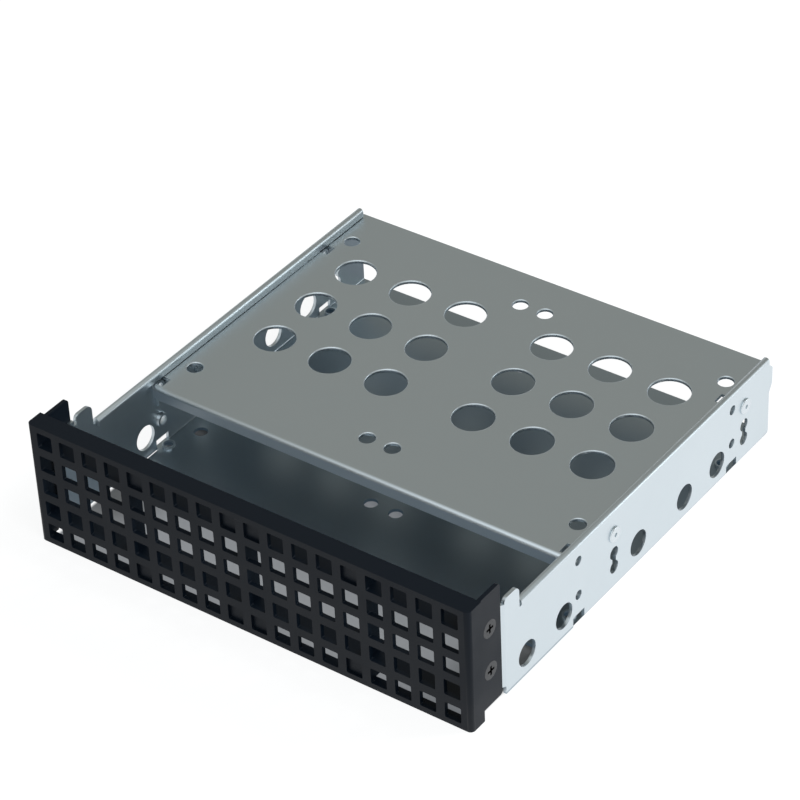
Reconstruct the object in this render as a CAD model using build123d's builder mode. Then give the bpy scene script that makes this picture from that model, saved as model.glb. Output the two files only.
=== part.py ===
from build123d import *
import os

# A drive cage that fills one 5.25 inch front bay, in millimetres.
# X runs across the bay, Y from the front face to the back, Z up.
# The origin lies under the middle of the cage, on its bottom face.
# Places along Y are written as distances behind the front face.

# Bent sheet
sheet = 1.0
bend_inner = 0.3
bend_outer = bend_inner + sheet

# Overall sizes
tray_width = 146.0
bezel_overhang = 1.0
bezel_width = tray_width + 2 * bezel_overhang
bezel_height = 41.0
overall_depth = 153.5
face_y = -overall_depth / 2
half_tray = tray_width / 2
wall_inside = half_tray - sheet

# Bezel: a shallow plastic cap with a square grille and two side flanges
cap_depth = 5.9
cap_wall = 1.4
face_thickness = 1.4
bottom_lip_depth = 3.4
edge_radius = 1.5
grille_columns = 18
grille_rows = 5
grille_side_border = 6.0
grille_top_border = 4.5
column_pitch = (bezel_width - 2 * grille_side_border) / (grille_columns - 1)
row_pitch = (bezel_height - 2 * grille_top_border) / (grille_rows - 1)
grille_hole = 5.2
grille_corner = 0.4
blind_columns = (4, 8, 9, 13)
blind_rows = (0, 4)
blind_recess = 0.9
rib_thickness = 1.2
upright_rib_pitch = 5 * column_pitch
level_rib_pitch = 3 * row_pitch
level_rib_depth = 8.0
flange_thickness = 1.2
flange_overhang = 9.4
flange_bottom = 2.4
flange_top = 40.3
flange_corner = 1.0
flange_end = cap_depth + flange_overhang

# Bezel screws: M3 countersunk, two on each side
screw_distance = 10.4
screw_heights = {"lower": 14.0, "upper": 28.3}
screw_diameter = 3.0
screw_head = 5.6
screw_length = 5.0
screw_clearance = 0.05
recess_length = 3.0
recess_width = 0.75
recess_depth = 0.9

# Tray tongue: the wall steps inwards and slides inside the bezel flange
flange_fit = 0.05
tongue_step = 1.05
tongue_outside = half_tray - tongue_step
flange_outside = tongue_outside + flange_fit + flange_thickness
tongue_start = cap_depth + 0.5
tongue_end = flange_end + 0.7
tongue_bottom = 3.0
tongue_top = 33.0
relief_front = flange_end + 0.2
relief_bottom = 31.3
wall_front = tongue_end + 1.4

# Side walls of the tray
wall_foot = 0.4
ear_end = 24.3
ear_corner = 2.2
ear_front_corner = 1.6
notch_width = 1.0
notch_bottom = 25.6
hem_front = ear_end + notch_width
hem_top = 27.4
hem_gap = 0.2
hem_width = hem_gap + 2 * sheet
hem_radius = hem_width / 2
hem_axis = hem_top - hem_radius
rear_step = 1.6
rear_low = overall_depth - rear_step
hem_rear = overall_depth - 1.8
rear_taper_bottom = 15.2
rear_taper_top = 18.0
rear_chamfer_bottom = 23.4
foot_corner = 2.0

# Threaded holes that a chassis or a computer bay uses
mount_first = 52.2
mount_pitch = 79.25
mount_low = 10.0
mount_rise = 11.84
mount_inset = 3.15
mount_across = tray_width - 2 * mount_inset
thread_diameter = 3.0
collar_diameter = 4.4
collar_length = 1.2
foot_collar_diameter = 4.0
foot_collar_height = 0.8
mount_distances = (mount_first, mount_first + mount_pitch)
slot_length = 5.5
slot_top = 3.6
slot_front = mount_first - slot_length / 2

# Other holes in the side walls
access_diameter = 8.0
access_height = 7.5
access_distances = (27.4, 45.1, 82.1, 106.1, 123.5)
keyhole_diameter = 4.0
keyhole_distances = (69.8, 138.1)
keyhole_heights = (7.5, 12.4)
keyhole_neck = 1.8

# Floor of the tray
floor_front = 37.0
floor_edge_gap = 0.8

# Drive plate: the upper shelf, hung between the walls under their hems
plate_top = 24.4
plate_front = 48.6
plate_rear = overall_depth - 0.2
plate_fit = 0.1
half_plate = wall_inside - plate_fit
side_flange_bottom = 15.5
side_flange_end = rear_low - 1.9
front_flange_bottom = 20.2
plate_relief = 1.1
side_flange_start = plate_front + bend_outer + plate_relief
hem_clearance = 0.25
lip_bottom = plate_top + hem_clearance
collar_slot_width = 3.7
collar_slot_length = 4.0
collar_notch_length = collar_diameter + 0.6

# Drives of 2.5 inch size, two side by side on each level
drive_first = plate_front + 14.0
drive_across = 61.72
drive_inset = 5.94
drive_offset = wall_inside - drive_inset - drive_across / 2
drive_along = 76.6
drive_middle = drive_first + drive_along / 2
plate_drive_hole = 4.8
floor_drive_hole = 4.2

# Round vents in the drive plate, three by three over each drive
vent_diameter = 12.5
vent_pitch = 20.0
vent_middle = 106.5
plate_hole_rim = 0.4

# Rivets that hold the drive plate to the walls
rivet_distances = {"front": 69.8, "rear": 138.3}
rivet_height = 19.0
rivet_shank = 3.0
rivet_clearance = 0.05
rivet_head = 5.0
rivet_head_height = 0.6
rivet_tail = 4.4
rivet_tail_height = 0.9
rivet_core = 1.3
rivet_core_depth = 1.2


def across(distance):
    # Upright plane, parallel to the front face: local y is up, positive extrusions go forward
    return Plane(origin=(0, face_y + distance, 0), x_dir=(1, 0, 0), z_dir=(0, -1, 0))


def along(x):
    # Upright plane, parallel to the side walls: local x runs back, local y is up
    return Plane(origin=(x, face_y, 0), x_dir=(0, 1, 0), z_dir=(1, 0, 0))


def level(height):
    # Flat plane: local y runs back from the front face
    return Plane(origin=(0, face_y, height))


def inward(side, x):
    # Upright plane on a side wall, looking in: positive extrusions go towards the middle
    return Plane(origin=(side * x, face_y, 0), x_dir=(0, -side, 0), z_dir=(-side, 0, 0))


def on_side(side, distance, height):
    # A place on such a plane, given as the distance behind the front face and the height
    return (-side * distance, height)


def grille_place(column, row):
    middle_column = (grille_columns - 1) / 2
    middle_row = (grille_rows - 1) / 2
    x = (column - middle_column) * column_pitch
    return (x, bezel_height / 2 + (row - middle_row) * row_pitch)


grille_cells = [(column, row) for column in range(grille_columns) for row in range(grille_rows)]
blind_cells = [cell for cell in grille_cells if cell[0] in blind_columns and cell[1] in blind_rows]
open_cells = [cell for cell in grille_cells if cell not in blind_cells]

os.makedirs("parts", exist_ok=True)

# Bezel
with BuildPart() as bezel:
    with BuildSketch(level(0)) as cap_outline:
        with Locations((0, cap_depth / 2)):
            Rectangle(bezel_width, cap_depth)
        fillet(cap_outline.vertices().group_by(Axis.Y)[0], edge_radius)
    extrude(amount=bezel_height)
    with BuildSketch(across(cap_depth)):
        with Locations((0, bezel_height / 2)):
            Rectangle(bezel_width - 2 * cap_wall, bezel_height - 2 * cap_wall)
    extrude(amount=cap_depth - face_thickness, mode=Mode.SUBTRACT)
    # The lower lip is shallower than the others
    with BuildSketch(across(cap_depth)):
        with Locations((0, cap_wall / 2)):
            Rectangle(bezel_width - 2 * cap_wall, cap_wall)
    extrude(amount=cap_depth - bottom_lip_depth, mode=Mode.SUBTRACT)
    # Ribs behind the face
    with BuildSketch(across(cap_depth)):
        with Locations((0, bezel_height / 2)):
            with GridLocations(upright_rib_pitch, 0, 3, 1):
                Rectangle(rib_thickness, bezel_height - 2 * cap_wall)
            with GridLocations(0, level_rib_pitch, 1, 2):
                Rectangle(bezel_width - 2 * cap_wall, rib_thickness)
    extrude(amount=cap_depth - face_thickness)
    with BuildSketch(across(level_rib_depth)):
        with Locations((0, bezel_height / 2)):
            with GridLocations(0, level_rib_pitch, 1, 2):
                Rectangle(2 * (tongue_outside - sheet - 1), rib_thickness)
    extrude(amount=level_rib_depth - face_thickness)
    # Square holes, most open and a few blind
    with BuildSketch(across(0)):
        with Locations(*[grille_place(column, row) for column, row in open_cells]):
            RectangleRounded(grille_hole, grille_hole, grille_corner)
    extrude(amount=-face_thickness, mode=Mode.SUBTRACT)
    with BuildSketch(across(0)):
        with Locations(*[grille_place(column, row) for column, row in blind_cells]):
            RectangleRounded(grille_hole, grille_hole, grille_corner)
    extrude(amount=-blind_recess, mode=Mode.SUBTRACT)
    # Side flanges with their countersunk holes
    for flange_x in (-flange_outside, flange_outside - flange_thickness):
        with BuildSketch(along(flange_x)) as flange:
            with Locations(((face_thickness + flange_end) / 2, (flange_bottom + flange_top) / 2)):
                Rectangle(flange_end - face_thickness, flange_top - flange_bottom)
            fillet(flange.vertices().group_by(Axis.X)[-1], flange_corner)
        extrude(amount=flange_thickness)
    for side in (-1, 1):
        with BuildSketch(inward(side, flange_outside)):
            with Locations(*[on_side(side, screw_distance, z) for z in screw_heights.values()]):
                Circle(screw_head / 2 + screw_clearance)
        extrude(amount=flange_thickness, taper=45, mode=Mode.SUBTRACT)
bezel.part.label = "bezel"
export_step(bezel.part, "parts/bezel.step")

# Tray: floor and both walls bent from one sheet; the right half is drawn and mirrored
with BuildPart() as tray:
    with BuildSketch(across(slot_front)) as channel:
        with BuildLine():
            Polyline(
                (0, 0),
                (half_tray, 0),
                (half_tray, slot_top),
                (wall_inside, slot_top),
                (wall_inside, sheet),
                (0, sheet),
                close=True,
            )
        make_face()
        fillet(channel.vertices().sort_by_distance((half_tray, 0))[0], bend_outer)
        fillet(channel.vertices().sort_by_distance((wall_inside, sheet))[0], bend_inner)
    extrude(amount=-(rear_low - slot_front))
    with BuildSketch(level(0)):
        with Locations((0, floor_front)):
            front_part = (wall_inside - floor_edge_gap, slot_front - floor_front)
            Rectangle(*front_part, align=(Align.MIN, Align.MIN))
    extrude(amount=sheet)
    # Flat wall with its ear, notch and stepped rear edge
    with BuildSketch(along(wall_inside)) as wall:
        with BuildLine():
            Polyline(
                (wall_front, wall_foot),
                (slot_front, wall_foot),
                (slot_front, slot_top),
                (rear_low, slot_top),
                (rear_low, rear_taper_bottom),
                (overall_depth, rear_taper_top),
                (overall_depth, rear_chamfer_bottom),
                (hem_rear, rear_chamfer_bottom + overall_depth - hem_rear),
                (hem_rear, hem_axis),
                (hem_front, hem_axis),
                (hem_front, notch_bottom),
                (ear_end, notch_bottom),
                (ear_end, tongue_top),
                (wall_front, tongue_top),
                close=True,
            )
        make_face()
        fillet(wall.vertices().sort_by_distance((ear_end, tongue_top))[0], ear_corner)
        fillet(wall.vertices().sort_by_distance((wall_front, tongue_top))[0], ear_front_corner)
        fillet(wall.vertices().sort_by_distance((ear_end, notch_bottom))[0], notch_width * 0.45)
    extrude(amount=sheet)
    # Hem: the top of the wall turned inwards and down
    with BuildSketch(across(hem_front)):
        with BuildLine():
            lip_outside = half_tray - hem_width
            lip_inside = lip_outside + sheet
            hem_middle = half_tray - hem_radius
            Line((half_tray, hem_axis), (wall_inside, hem_axis))
            ThreePointArc(
                (wall_inside, hem_axis),
                (hem_middle, hem_axis + hem_gap / 2),
                (lip_inside, hem_axis),
            )
            Line((lip_inside, hem_axis), (lip_inside, lip_bottom))
            Line((lip_inside, lip_bottom), (lip_outside, lip_bottom))
            Line((lip_outside, lip_bottom), (lip_outside, hem_axis))
            ThreePointArc(
                (lip_outside, hem_axis),
                (hem_middle, hem_top),
                (half_tray, hem_axis),
            )
        make_face()
    extrude(amount=-(hem_rear - hem_front))
    # Tongue that slides into the bezel flange, with the step that joins it to the wall
    with BuildSketch(level(tongue_bottom)):
        with BuildLine():
            Polyline(
                (half_tray, wall_front + sheet),
                (half_tray, wall_front),
                (tongue_outside, tongue_end),
                (tongue_outside, tongue_start),
                (tongue_outside - sheet, tongue_start),
                (tongue_outside - sheet, tongue_end + bend_inner),
                (wall_inside, wall_front + bend_inner),
                (wall_inside, wall_front + sheet),
                close=True,
            )
        make_face()
    extrude(amount=relief_bottom - tongue_bottom)
    with BuildSketch(along(tongue_outside - sheet)):
        with Locations(((tongue_start + relief_front) / 2, (relief_bottom + tongue_top) / 2)):
            Rectangle(relief_front - tongue_start, tongue_top - relief_bottom)
    extrude(amount=sheet)
    # Windows above the bend, beside the threaded holes of the floor
    with BuildSketch(along(half_tray)):
        with Locations(*[(distance, (sheet + slot_top) / 2) for distance in mount_distances]):
            Rectangle(slot_length, slot_top - sheet)
    extrude(amount=-(sheet + bend_inner), mode=Mode.SUBTRACT)
    # Collars of the threaded holes, drawn inwards from the sheet
    with BuildSketch(along(wall_inside)):
        for distance in mount_distances:
            with Locations((distance, mount_low), (distance, mount_low + mount_rise)):
                Circle(collar_diameter / 2)
    extrude(amount=-collar_length)
    with BuildSketch(level(sheet)):
        with Locations(*[(mount_across / 2, distance) for distance in mount_distances]):
            Circle(foot_collar_diameter / 2)
    extrude(amount=foot_collar_height)
    # Rounded foot of the wall
    with BuildSketch(along(wall_inside)):
        with BuildLine():
            Line((rear_low, foot_corner), (rear_low, 0))
            Line((rear_low, 0), (rear_low - foot_corner, 0))
            RadiusArc((rear_low - foot_corner, 0), (rear_low, foot_corner), -foot_corner)
        make_face()
    extrude(amount=sheet, mode=Mode.SUBTRACT)
    # Holes in the wall
    with BuildSketch(along(wall_inside)):
        with Locations(*[(distance, access_height) for distance in access_distances]):
            Circle(access_diameter / 2)
        for distance in keyhole_distances:
            with Locations(*[(distance, height) for height in keyhole_heights]):
                Circle(keyhole_diameter / 2)
            with Locations((distance, sum(keyhole_heights) / 2)):
                Rectangle(keyhole_neck, keyhole_heights[1] - keyhole_heights[0])
        with Locations(*[(distance, rivet_height) for distance in rivet_distances.values()]):
            Circle(rivet_shank / 2 + rivet_clearance)
    extrude(amount=sheet, mode=Mode.SUBTRACT)
    with BuildSketch(along(half_tray)):
        for distance in mount_distances:
            with Locations((distance, mount_low), (distance, mount_low + mount_rise)):
                Circle(thread_diameter / 2)
    extrude(amount=-(sheet + collar_length), mode=Mode.SUBTRACT)
    with BuildSketch(along(tongue_outside)):
        with Locations(*[(screw_distance, height) for height in screw_heights.values()]):
            Circle(screw_diameter / 2 + screw_clearance)
    extrude(amount=-sheet, mode=Mode.SUBTRACT)
    # Holes in the floor
    with BuildSketch(level(0)):
        with Locations(*[(mount_across / 2, distance) for distance in mount_distances]):
            Circle(thread_diameter / 2)
    extrude(amount=sheet + foot_collar_height, mode=Mode.SUBTRACT)
    with BuildSketch(level(0)):
        with Locations((drive_offset, drive_middle)):
            with GridLocations(drive_across, drive_along, 2, 2):
                Circle(floor_drive_hole / 2)
    extrude(amount=sheet, mode=Mode.SUBTRACT)
    mirror(about=Plane.YZ)
tray.part.label = "tray"
export_step(tray.part, "parts/tray.step")

# Drive plate: shelf with a front flange and two side flanges; the right half is mirrored
with BuildPart() as drive_plate:
    with BuildSketch(across(side_flange_start)) as shelf:
        with BuildLine():
            Polyline(
                (0, plate_top),
                (half_plate, plate_top),
                (half_plate, side_flange_bottom),
                (half_plate - sheet, side_flange_bottom),
                (half_plate - sheet, plate_top - sheet),
                (0, plate_top - sheet),
                close=True,
            )
        make_face()
        fillet(shelf.vertices().sort_by_distance((half_plate, plate_top))[0], bend_outer)
        inner_corner = (half_plate - sheet, plate_top - sheet)
        fillet(shelf.vertices().sort_by_distance(inner_corner)[0], bend_inner)
    extrude(amount=-(side_flange_end - side_flange_start))
    with BuildSketch(level(plate_top - sheet)):
        with BuildLine():
            Polyline(
                (0, side_flange_end),
                (half_plate, side_flange_end),
                (half_plate, plate_rear),
                (0, plate_rear),
                close=True,
            )
        make_face()
    extrude(amount=sheet)
    with BuildSketch(along(0)) as front_flange:
        with BuildLine():
            Polyline(
                (plate_front, front_flange_bottom),
                (plate_front, plate_top),
                (side_flange_start, plate_top),
                (side_flange_start, plate_top - sheet),
                (plate_front + sheet, plate_top - sheet),
                (plate_front + sheet, front_flange_bottom),
                close=True,
            )
        make_face()
        fillet(front_flange.vertices().sort_by_distance((plate_front, plate_top))[0], bend_outer)
        inner_corner = (plate_front + sheet, plate_top - sheet)
        fillet(front_flange.vertices().sort_by_distance(inner_corner)[0], bend_inner)
    extrude(amount=half_plate - bend_outer)
    # Vents and drive holes
    with BuildSketch(level(plate_top)):
        with Locations((drive_offset, vent_middle)):
            with GridLocations(vent_pitch, vent_pitch, 3, 3):
                Circle(vent_diameter / 2)
        with Locations((drive_offset, drive_middle)):
            with GridLocations(drive_across, drive_along, 2, 2):
                Circle(plate_drive_hole / 2)
    extrude(amount=-sheet, mode=Mode.SUBTRACT)
    fillet(drive_plate.edges().filter_by(GeomType.CIRCLE).group_by(Axis.Z)[-1], plate_hole_rim)
    # Slots in the shelf and notches in its flanges that clear the upper collars of the walls
    with BuildSketch(level(plate_top)):
        with Locations(*[(half_plate - collar_slot_width / 2, distance) for distance in mount_distances]):
            Rectangle(collar_slot_width, collar_slot_length)
    extrude(amount=-bend_outer, mode=Mode.SUBTRACT)
    notch_low = mount_low + mount_rise - collar_notch_length / 2
    notch_high = plate_top - sheet - bend_inner
    with BuildSketch(along(half_plate - sheet)):
        for distance in mount_distances:
            with Locations((distance, (notch_low + notch_high) / 2)):
                Rectangle(collar_notch_length, notch_high - notch_low)
            with Locations((distance, (notch_high + plate_top) / 2)):
                Rectangle(collar_slot_length, plate_top - notch_high)
    extrude(amount=sheet, mode=Mode.SUBTRACT)
    with BuildSketch(along(half_plate - sheet)):
        with Locations(*[(distance, rivet_height) for distance in rivet_distances.values()]):
            Circle(rivet_shank / 2 + rivet_clearance)
    extrude(amount=sheet, mode=Mode.SUBTRACT)
    mirror(about=Plane.YZ)
drive_plate.part.label = "drive_plate"
export_step(drive_plate.part, "parts/drive_plate.step")

sides = {"left": -1, "right": 1}

# Bezel screws
for side_name, side in sides.items():
    for height_name, height in screw_heights.items():
        with BuildPart() as screw:
            with BuildSketch(inward(side, flange_outside)):
                with Locations(on_side(side, screw_distance, height)):
                    Circle(screw_head / 2)
            extrude(amount=flange_thickness, taper=45)
            with BuildSketch(inward(side, flange_outside)):
                with Locations(on_side(side, screw_distance, height)):
                    Circle(screw_diameter / 2)
            extrude(amount=screw_length)
            with BuildSketch(inward(side, flange_outside)):
                with Locations(on_side(side, screw_distance, height)):
                    Rectangle(recess_length, recess_width)
                    Rectangle(recess_width, recess_length)
            extrude(amount=recess_depth, mode=Mode.SUBTRACT)
        screw.part.label = f"bezel_screw_{side_name}_{height_name}"
        export_step(screw.part, f"parts/bezel_screw_{side_name}_{height_name}.step")

# Rivets
for side_name, side in sides.items():
    for place_name, distance in rivet_distances.items():
        with BuildPart() as rivet:
            with BuildSketch(inward(side, half_tray + rivet_head_height)):
                with Locations(on_side(side, distance, rivet_height)):
                    Circle(rivet_head / 2)
            extrude(amount=rivet_head_height)
            head_rim = rivet.edges().filter_by(GeomType.CIRCLE).sort_by(Axis.X)
            fillet(head_rim[-1] if side > 0 else head_rim[0], rivet_head_height * 0.7)
            with BuildSketch(inward(side, half_tray)):
                with Locations(on_side(side, distance, rivet_height)):
                    Circle(rivet_shank / 2)
            extrude(amount=half_tray - half_plate + sheet)
            with BuildSketch(inward(side, half_plate - sheet)):
                with Locations(on_side(side, distance, rivet_height)):
                    Circle(rivet_tail / 2)
            extrude(amount=rivet_tail_height)
            with BuildSketch(inward(side, half_tray + rivet_head_height)):
                with Locations(on_side(side, distance, rivet_height)):
                    Circle(rivet_core / 2)
            extrude(amount=rivet_core_depth, mode=Mode.SUBTRACT)
        rivet.part.label = f"rivet_{side_name}_{place_name}"
        export_step(rivet.part, f"parts/rivet_{side_name}_{place_name}.step")
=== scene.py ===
import math

import bpy
from mathutils import Matrix, Vector

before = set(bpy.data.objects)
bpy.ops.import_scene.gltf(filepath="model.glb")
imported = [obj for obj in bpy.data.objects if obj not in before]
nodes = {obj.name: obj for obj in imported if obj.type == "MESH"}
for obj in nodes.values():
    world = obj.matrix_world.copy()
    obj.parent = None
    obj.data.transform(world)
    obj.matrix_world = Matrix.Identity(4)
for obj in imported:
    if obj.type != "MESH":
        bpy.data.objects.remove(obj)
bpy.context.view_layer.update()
MM = 0.001

# Nodes by their finish
SHEET_NODES = ("tray", "drive_plate")
BEZEL_NODE = "bezel"
SCREW_NODES = [name for name in nodes if name.startswith("bezel_screw")]
RIVET_NODES = [name for name in nodes if name.startswith("rivet")]

# How far each kind of edge is worn
SHEET_EDGE = 0.15 * MM
BEZEL_EDGE = 0.12 * MM
FASTENER_EDGE = 0.08 * MM
WORN_SEGMENTS = 2
WORN_ANGLE = math.radians(50)
WELD_DISTANCE = 0.002 * MM

# Most of a noise lies between these two values
NOISE_SPAN = (0.3, 0.7)

# Noises: scale and detail. Bumps: depth in metres and strength
SHEET_CLOUDS = (38.0, 4.0)
SHEET_GRAIN = (2600.0, 2.0)
SHEET_BUMP = (0.00002, 0.03)
PLASTIC_CLOUDS = (60.0, 3.0)
PLASTIC_GRAIN = (2400.0, 3.0)
PLASTIC_BUMP = (0.00004, 0.35)
FASTENER_CLOUDS = (1500.0, 3.0)
FASTENER_GRAIN = (3000.0, 2.0)
FASTENER_BUMP = (0.00002, 0.3)

# Zinc-plated sheet: two tones outside, and a darker one painted as shade on the faces that look into the
# cage
ZINC_COLOUR = (0.640, 0.705, 0.745, 1.0)
ZINC_SHADE = (0.622, 0.688, 0.728, 1.0)
ZINC_PAINTED_SHADE = (0.395, 0.460, 0.505, 1.0)
ZINC_ROUGHNESS = (0.345, 0.375)
FLOOR_TOP = 1.05 * MM
FACING_DOWN = -0.5

# Black moulding
PLASTIC_COLOUR = (0.0026, 0.0052, 0.0095, 1.0)
PLASTIC_ROUGHNESS = (0.39, 0.51)
PLASTIC_SPECULAR = 0.16

# Screws and rivets
SCREW_COLOUR = (0.06, 0.062, 0.066, 1.0)
SCREW_ROUGHNESS = (0.26, 0.40)
RIVET_COLOUR = (0.66, 0.715, 0.75, 1.0)
RIVET_ROUGHNESS = (0.18, 0.32)

# The white table: its plain colour, and the glow that the camera and the metal see
TABLE_SIZE = 12.0
TABLE_COLOUR = (0.20, 0.205, 0.21, 1.0)
TABLE_ROUGHNESS = 0.9
TABLE_GLOW = (0.85, 0.85, 0.85, 1.0)

# Its shade under the cage, in metres from the cage's middle; the metal's shade reaches further back
SHADED_GLOW = (0.130, 0.138, 0.150, 1.0)
SHADED_GLOW_IN_METAL = (0.035, 0.060, 0.086, 1.0)
SHADED_HALF_WIDTH = 0.0710
SHADED_HALF_DEPTH = 0.0755
SHADED_EDGE = 0.001
SHADE_BEHIND = 0.120

# The deepest shade fades in over these distances: sideways to the walls, and back from the bezel
DEEP_SHADE_GLOW = (0.0, 0.0, 0.0, 1.0)
DEEP_SHADE_SIDE = (0.0500, 0.0660)
DEEP_SHADE_FRONT = (-0.0700, -0.0560)

# Share of the glow that the metal sees at the cage's left side
GLOW_AT_LEFT = 0.70

# The white backdrop fades out between these heights, as sines of the angle above the table
WHITE = (1.0, 1.0, 1.0, 1.0)
BACKDROP_FADE = (0.06, 0.16)

# The room: a warm grey surround and soft windows, each with its direction, narrowness and colour
ROOM_COLOUR = (0.31, 0.31, 0.285, 1.0)
ROOM_WINDOWS = (
    ((0.2, -0.6, 0.77), 3.0, (0.95, 1.00, 1.05)),
    ((0.76, 0.64, 0.10), 30.0, (2.20, 2.40, 2.50)),
)

# Lamps, each turned towards the cage: name, place, sides and watts
LAMPS = (
    ("rear window", (0.95, 1.15, 1.05), (0.9, 0.7), 26.0),
    ("right window", (1.5, -0.3, 0.7), (0.8, 0.8), 9.0),
)

# Camera, set at the photograph's viewing angle; the frame is 800 x 800
FRAME_PIXELS = 800
SENSOR_WIDTH = 36.0
FOCAL_PIXELS = 3299.4
PRINCIPAL_POINT = (389.3, 421.2)
CAMERA_PLACE = Vector((0.44848, -0.59080, 0.58593))
CAMERA_FORWARD = Vector((-0.48656, 0.63091, -0.60433))
CAMERA_RIGHT = Vector((0.80996, 0.58503, -0.04136))
NEAREST_SEEN = 0.01


def add_node(tree, kind, **values):
    """One shader node; values are its properties, or its inputs where no property has that name."""
    node = tree.nodes.new(kind)
    for name, value in values.items():
        if hasattr(node, name):
            setattr(node, name, value)
        else:
            node.inputs[name].default_value = value
    return node


def new_material(name, colour, metallic, roughness, specular=0.5):
    """A plain material of one colour, with its node tree and its shader."""
    material = bpy.data.materials.new(name)
    material.use_nodes = True
    shader = material.node_tree.nodes["Principled BSDF"]
    shader.inputs["Base Color"].default_value = colour
    shader.inputs["Metallic"].default_value = metallic
    shader.inputs["Roughness"].default_value = roughness
    shader.inputs["Specular IOR Level"].default_value = specular
    return material, material.node_tree, shader


def add_math(tree, operation, *values):
    """A math node; each value is a socket or a plain number."""
    node = add_node(tree, "ShaderNodeMath", operation=operation)
    for slot, value in enumerate(values):
        if isinstance(value, float):
            node.inputs[slot].default_value = value
        else:
            tree.links.new(value, node.inputs[slot])
    return node.outputs[0]


def map_range(tree, value, start, end, at_start=0.0, at_end=1.0):
    """Runs from at_start to at_end while value runs from start to end."""
    node = add_node(tree, "ShaderNodeMapRange")
    node.inputs["From Min"].default_value = start
    node.inputs["From Max"].default_value = end
    node.inputs["To Min"].default_value = at_start
    node.inputs["To Max"].default_value = at_end
    tree.links.new(value, node.inputs["Value"])
    return node.outputs["Result"]


def split_axes(tree, vector):
    """The three parts of a vector."""
    node = add_node(tree, "ShaderNodeSeparateXYZ")
    tree.links.new(vector, node.inputs[0])
    return node.outputs["X"], node.outputs["Y"], node.outputs["Z"]


def mix_colours(tree, factor, first, second):
    """Blends two colours; each is a socket or a plain colour."""
    node = add_node(tree, "ShaderNodeMix", data_type="RGBA")
    tree.links.new(factor, node.inputs[0])
    for slot, colour in ((6, first), (7, second)):
        if isinstance(colour, tuple):
            node.inputs[slot].default_value = colour
        else:
            tree.links.new(colour, node.inputs[slot])
    return node.outputs[2]


def object_noise(tree, scale, detail):
    """Noise on the piece's own coordinates."""
    place = add_node(tree, "ShaderNodeTexCoord")
    noise = add_node(tree, "ShaderNodeTexNoise", Scale=scale, Detail=detail)
    tree.links.new(place.outputs["Object"], noise.inputs["Vector"])
    return noise.outputs["Fac"]


def vary_roughness(tree, shader, noise, roughness):
    """Lets the gloss wander between the two ends of roughness."""
    tree.links.new(map_range(tree, noise, *NOISE_SPAN, *roughness), shader.inputs["Roughness"])


def add_bump(tree, shader, grain, bump):
    """Fine relief from a noise: grain is its scale and detail, bump its depth and strength."""
    depth, strength = bump
    node = add_node(tree, "ShaderNodeBump", Distance=depth, Strength=strength)
    tree.links.new(object_noise(tree, *grain), node.inputs["Height"])
    tree.links.new(node.outputs["Normal"], shader.inputs["Normal"])


def painted_shade_faces(tree):
    """Where the painted shade goes: 1 on the floor and on the undersides, which the room's light reaches
    least, else 0.
    """
    place = add_node(tree, "ShaderNodeTexCoord")
    height = split_axes(tree, place.outputs["Object"])[2]
    facing = split_axes(tree, place.outputs["Normal"])[2]
    low = add_math(tree, "LESS_THAN", height, FLOOR_TOP)
    under = add_math(tree, "LESS_THAN", facing, FACING_DOWN)
    return add_math(tree, "MAXIMUM", low, under)


def zinc_sheet():
    """Rolled sheet under bright zinc: faint clouds, a fine grain, and painted shade inside the cage."""
    material, tree, shader = new_material("zinc sheet", ZINC_COLOUR, 1.0, ZINC_ROUGHNESS[0])
    clouds = object_noise(tree, *SHEET_CLOUDS)
    tone = map_range(tree, clouds, *NOISE_SPAN)
    outer = mix_colours(tree, tone, ZINC_COLOUR, ZINC_SHADE)
    # Painted shade: the floor and the undersides take the darker zinc colour
    colour = mix_colours(tree, painted_shade_faces(tree), outer, ZINC_PAINTED_SHADE)
    tree.links.new(colour, shader.inputs["Base Color"])
    vary_roughness(tree, shader, clouds, ZINC_ROUGHNESS)
    add_bump(tree, shader, SHEET_GRAIN, SHEET_BUMP)
    return material


def moulded_plastic():
    """Black moulding with a fine spark-eroded texture."""
    material, tree, shader = new_material(
        "black moulded plastic", PLASTIC_COLOUR, 0.0, PLASTIC_ROUGHNESS[0], PLASTIC_SPECULAR
    )
    vary_roughness(tree, shader, object_noise(tree, *PLASTIC_CLOUDS), PLASTIC_ROUGHNESS)
    add_bump(tree, shader, PLASTIC_GRAIN, PLASTIC_BUMP)
    return material


def plated_steel(name, colour, roughness):
    """Small plated fastener: a fine grain in its gloss."""
    material, tree, shader = new_material(name, colour, 1.0, roughness[0])
    vary_roughness(tree, shader, object_noise(tree, *FASTENER_CLOUDS), roughness)
    add_bump(tree, shader, FASTENER_GRAIN, FASTENER_BUMP)
    return material


def dress(node, material, edge):
    """Gives a CAD node its finish, and softens its edges by edge metres."""
    node.data.materials.clear()
    node.data.materials.append(material)
    weld = node.modifiers.new("joined faces", "WELD")
    weld.merge_threshold = WELD_DISTANCE
    bevel = node.modifiers.new("worn edges", "BEVEL")
    bevel.width = edge
    bevel.segments = WORN_SEGMENTS
    bevel.limit_method = "ANGLE"
    bevel.angle_limit = WORN_ANGLE
    bevel.use_clamp_overlap = True


def open_table(tree, across, along, metal):
    """0 in the cage's shade and 1 out on the table. For the metal the shade also lies behind the cage."""
    sideways = add_math(tree, "ABSOLUTE", across)
    sideways = add_math(tree, "ADD", sideways, SHADED_HALF_DEPTH - SHADED_HALF_WIDTH)
    forwards = add_math(tree, "MULTIPLY", along, -1.0)
    behind = add_math(tree, "MULTIPLY", metal, SHADE_BEHIND)
    backwards = add_math(tree, "SUBTRACT", along, behind)
    reach = add_math(tree, "MAXIMUM", sideways, add_math(tree, "MAXIMUM", forwards, backwards))
    return map_range(tree, reach, SHADED_HALF_DEPTH, SHADED_HALF_DEPTH + SHADED_EDGE)


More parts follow.
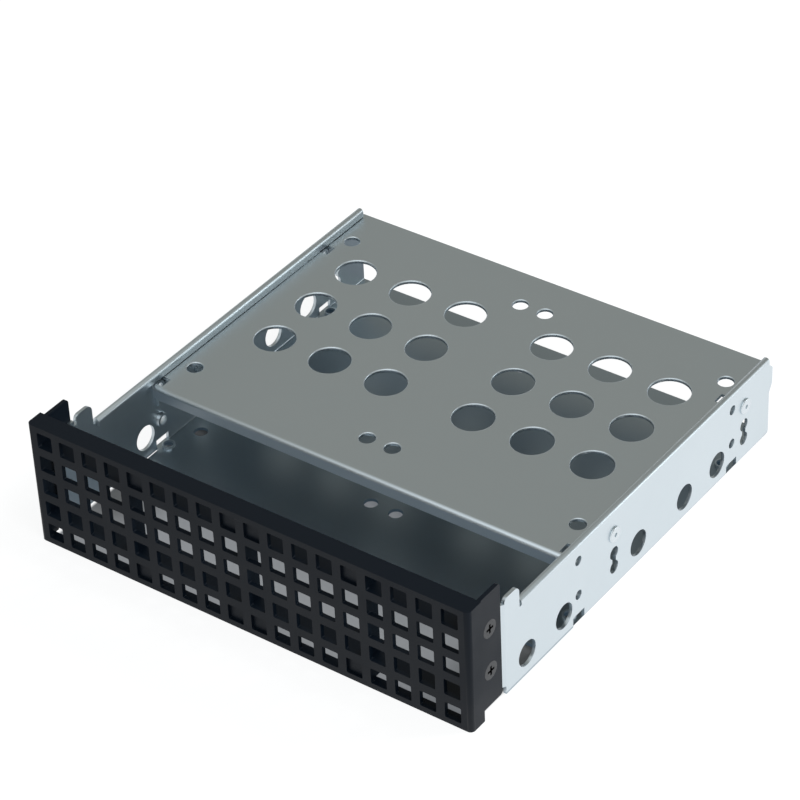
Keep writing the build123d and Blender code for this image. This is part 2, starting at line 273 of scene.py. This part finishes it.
def deepest_shade(tree, across, along):
    """1 beside the side walls and well behind the bezel, fading softly to 0."""
    beside_wall = map_range(tree, add_math(tree, "ABSOLUTE", across), *DEEP_SHADE_SIDE)
    behind_bezel = map_range(tree, along, *DEEP_SHADE_FRONT)
    return add_math(tree, "MULTIPLY", beside_wall, behind_bezel)


def glow_share(tree, across, metal):
    """Share of the glow that is seen: in the metal it falls off to the left, away from the window."""
    lost = map_range(
        tree, across, -SHADED_HALF_WIDTH, SHADED_HALF_WIDTH, at_start=1.0 - GLOW_AT_LEFT, at_end=0.0
    )
    return add_math(tree, "SUBTRACT", 1.0, add_math(tree, "MULTIPLY", metal, lost))


def white_table():
    """A table that looks white to the camera and in the metal, and still takes the cage's shadow."""
    bpy.ops.object.select_all(action="DESELECT")
    bpy.ops.mesh.primitive_plane_add(size=TABLE_SIZE, location=(0, 0, 0))
    table = bpy.context.object
    table.name = "floor"
    material, tree, shader = new_material("white table", TABLE_COLOUR, 0.0, TABLE_ROUGHNESS, 0.0)
    place = add_node(tree, "ShaderNodeTexCoord")
    across, along, _ = split_axes(tree, place.outputs["Object"])
    path = add_node(tree, "ShaderNodeLightPath")
    metal = path.outputs["Is Glossy Ray"]
    seen = add_math(tree, "MAXIMUM", path.outputs["Is Camera Ray"], metal)
    seen = add_math(tree, "MAXIMUM", seen, path.outputs["Is Transmission Ray"])
    shade = mix_colours(tree, deepest_shade(tree, across, along), SHADED_GLOW, DEEP_SHADE_GLOW)
    shade = mix_colours(tree, metal, shade, SHADED_GLOW_IN_METAL)
    glow = mix_colours(tree, open_table(tree, across, along, metal), shade, TABLE_GLOW)
    strength = add_math(tree, "MULTIPLY", seen, glow_share(tree, across, metal))
    tree.links.new(glow, shader.inputs["Emission Color"])
    tree.links.new(strength, shader.inputs["Emission Strength"])
    table.data.materials.append(material)


def soft_window(tree, looking, direction, narrowness, colour):
    """Light of one soft window, strongest where looking points straight at it."""
    facing = add_node(tree, "ShaderNodeVectorMath", operation="DOT_PRODUCT")
    facing.inputs[1].default_value = Vector(direction).normalized()
    tree.links.new(looking, facing.inputs[0])
    share = add_math(tree, "MAXIMUM", facing.outputs["Value"], 0.0)
    share = add_math(tree, "POWER", share, narrowness)
    lit = add_node(tree, "ShaderNodeVectorMath", operation="SCALE")
    lit.inputs[0].default_value = colour
    tree.links.new(share, lit.inputs["Scale"])
    return lit.outputs[0]


def studio_world():
    """White to the camera. The metal sees that white low down, and above it a grey room with windows."""
    world = bpy.data.worlds.new("studio")
    bpy.context.scene.world = world
    world.use_nodes = True
    tree = world.node_tree
    tree.nodes.clear()
    path = add_node(tree, "ShaderNodeLightPath")
    looking = add_node(tree, "ShaderNodeTexCoord").outputs["Generated"]
    height = split_axes(tree, looking)[2]
    low = map_range(tree, height, *BACKDROP_FADE, at_start=1.0, at_end=0.0)
    low_in_metal = add_math(tree, "MULTIPLY", path.outputs["Is Glossy Ray"], low)
    light = mix_colours(tree, low_in_metal, ROOM_COLOUR, WHITE)
    for window in ROOM_WINDOWS:
        total = add_node(tree, "ShaderNodeVectorMath", operation="ADD")
        tree.links.new(light, total.inputs[0])
        tree.links.new(soft_window(tree, looking, *window), total.inputs[1])
        light = total.outputs[0]
    room = add_node(tree, "ShaderNodeBackground", Strength=1.0)
    tree.links.new(light, room.inputs["Color"])
    backdrop = add_node(tree, "ShaderNodeBackground", Color=WHITE, Strength=1.0)
    seen = add_math(tree, "MAXIMUM", path.outputs["Is Camera Ray"], path.outputs["Is Transmission Ray"])
    mix = add_node(tree, "ShaderNodeMixShader")
    tree.links.new(seen, mix.inputs[0])
    tree.links.new(room.outputs[0], mix.inputs[1])
    tree.links.new(backdrop.outputs[0], mix.inputs[2])
    output = add_node(tree, "ShaderNodeOutputWorld")
    tree.links.new(mix.outputs[0], output.inputs["Surface"])


def soft_light(name, place, sides, power):
    """A wide lamp turned towards the cage. It lights the cage but isn't mirrored in it."""
    data = bpy.data.lights.new(name, "AREA")
    data.shape = "RECTANGLE"
    data.size, data.size_y = sides
    data.energy = power
    lamp = bpy.data.objects.new(name, data)
    bpy.context.scene.collection.objects.link(lamp)
    lamp.location = place
    lamp.rotation_euler = (-Vector(place)).to_track_quat("-Z", "Y").to_euler()
    lamp.visible_glossy = False


def photo_camera():
    """The camera that took the photograph, with its off-centre frame."""
    data = bpy.data.cameras.new("camera")
    camera = bpy.data.objects.new("camera", data)
    bpy.context.scene.collection.objects.link(camera)
    data.sensor_width = SENSOR_WIDTH
    data.lens = FOCAL_PIXELS / FRAME_PIXELS * SENSOR_WIDTH
    data.shift_x = (FRAME_PIXELS / 2 - PRINCIPAL_POINT[0]) / FRAME_PIXELS
    data.shift_y = (PRINCIPAL_POINT[1] - FRAME_PIXELS / 2) / FRAME_PIXELS
    data.clip_start = NEAREST_SEEN
    forward = CAMERA_FORWARD.normalized()
    right = (CAMERA_RIGHT - CAMERA_RIGHT.project(forward)).normalized()
    up = right.cross(forward)
    camera.matrix_world = Matrix((
        (right.x, up.x, -forward.x, CAMERA_PLACE.x),
        (right.y, up.y, -forward.y, CAMERA_PLACE.y),
        (right.z, up.z, -forward.z, CAMERA_PLACE.z),
        (0, 0, 0, 1),
    ))
    bpy.context.scene.camera = camera


# The cage
zinc = zinc_sheet()
plastic = moulded_plastic()
screw_finish = plated_steel("black zinc screw", SCREW_COLOUR, SCREW_ROUGHNESS)
rivet_finish = plated_steel("bright rivet", RIVET_COLOUR, RIVET_ROUGHNESS)
for name in SHEET_NODES:
    dress(nodes[name], zinc, SHEET_EDGE)
dress(nodes[BEZEL_NODE], plastic, BEZEL_EDGE)
for name in SCREW_NODES:
    dress(nodes[name], screw_finish, FASTENER_EDGE)
for name in RIVET_NODES:
    dress(nodes[name], rivet_finish, FASTENER_EDGE)

# The table, the light and the camera
white_table()
studio_world()
for lamp in LAMPS:
    soft_light(*lamp)
photo_camera()
bpy.context.scene.view_settings.view_transform = "Standard"
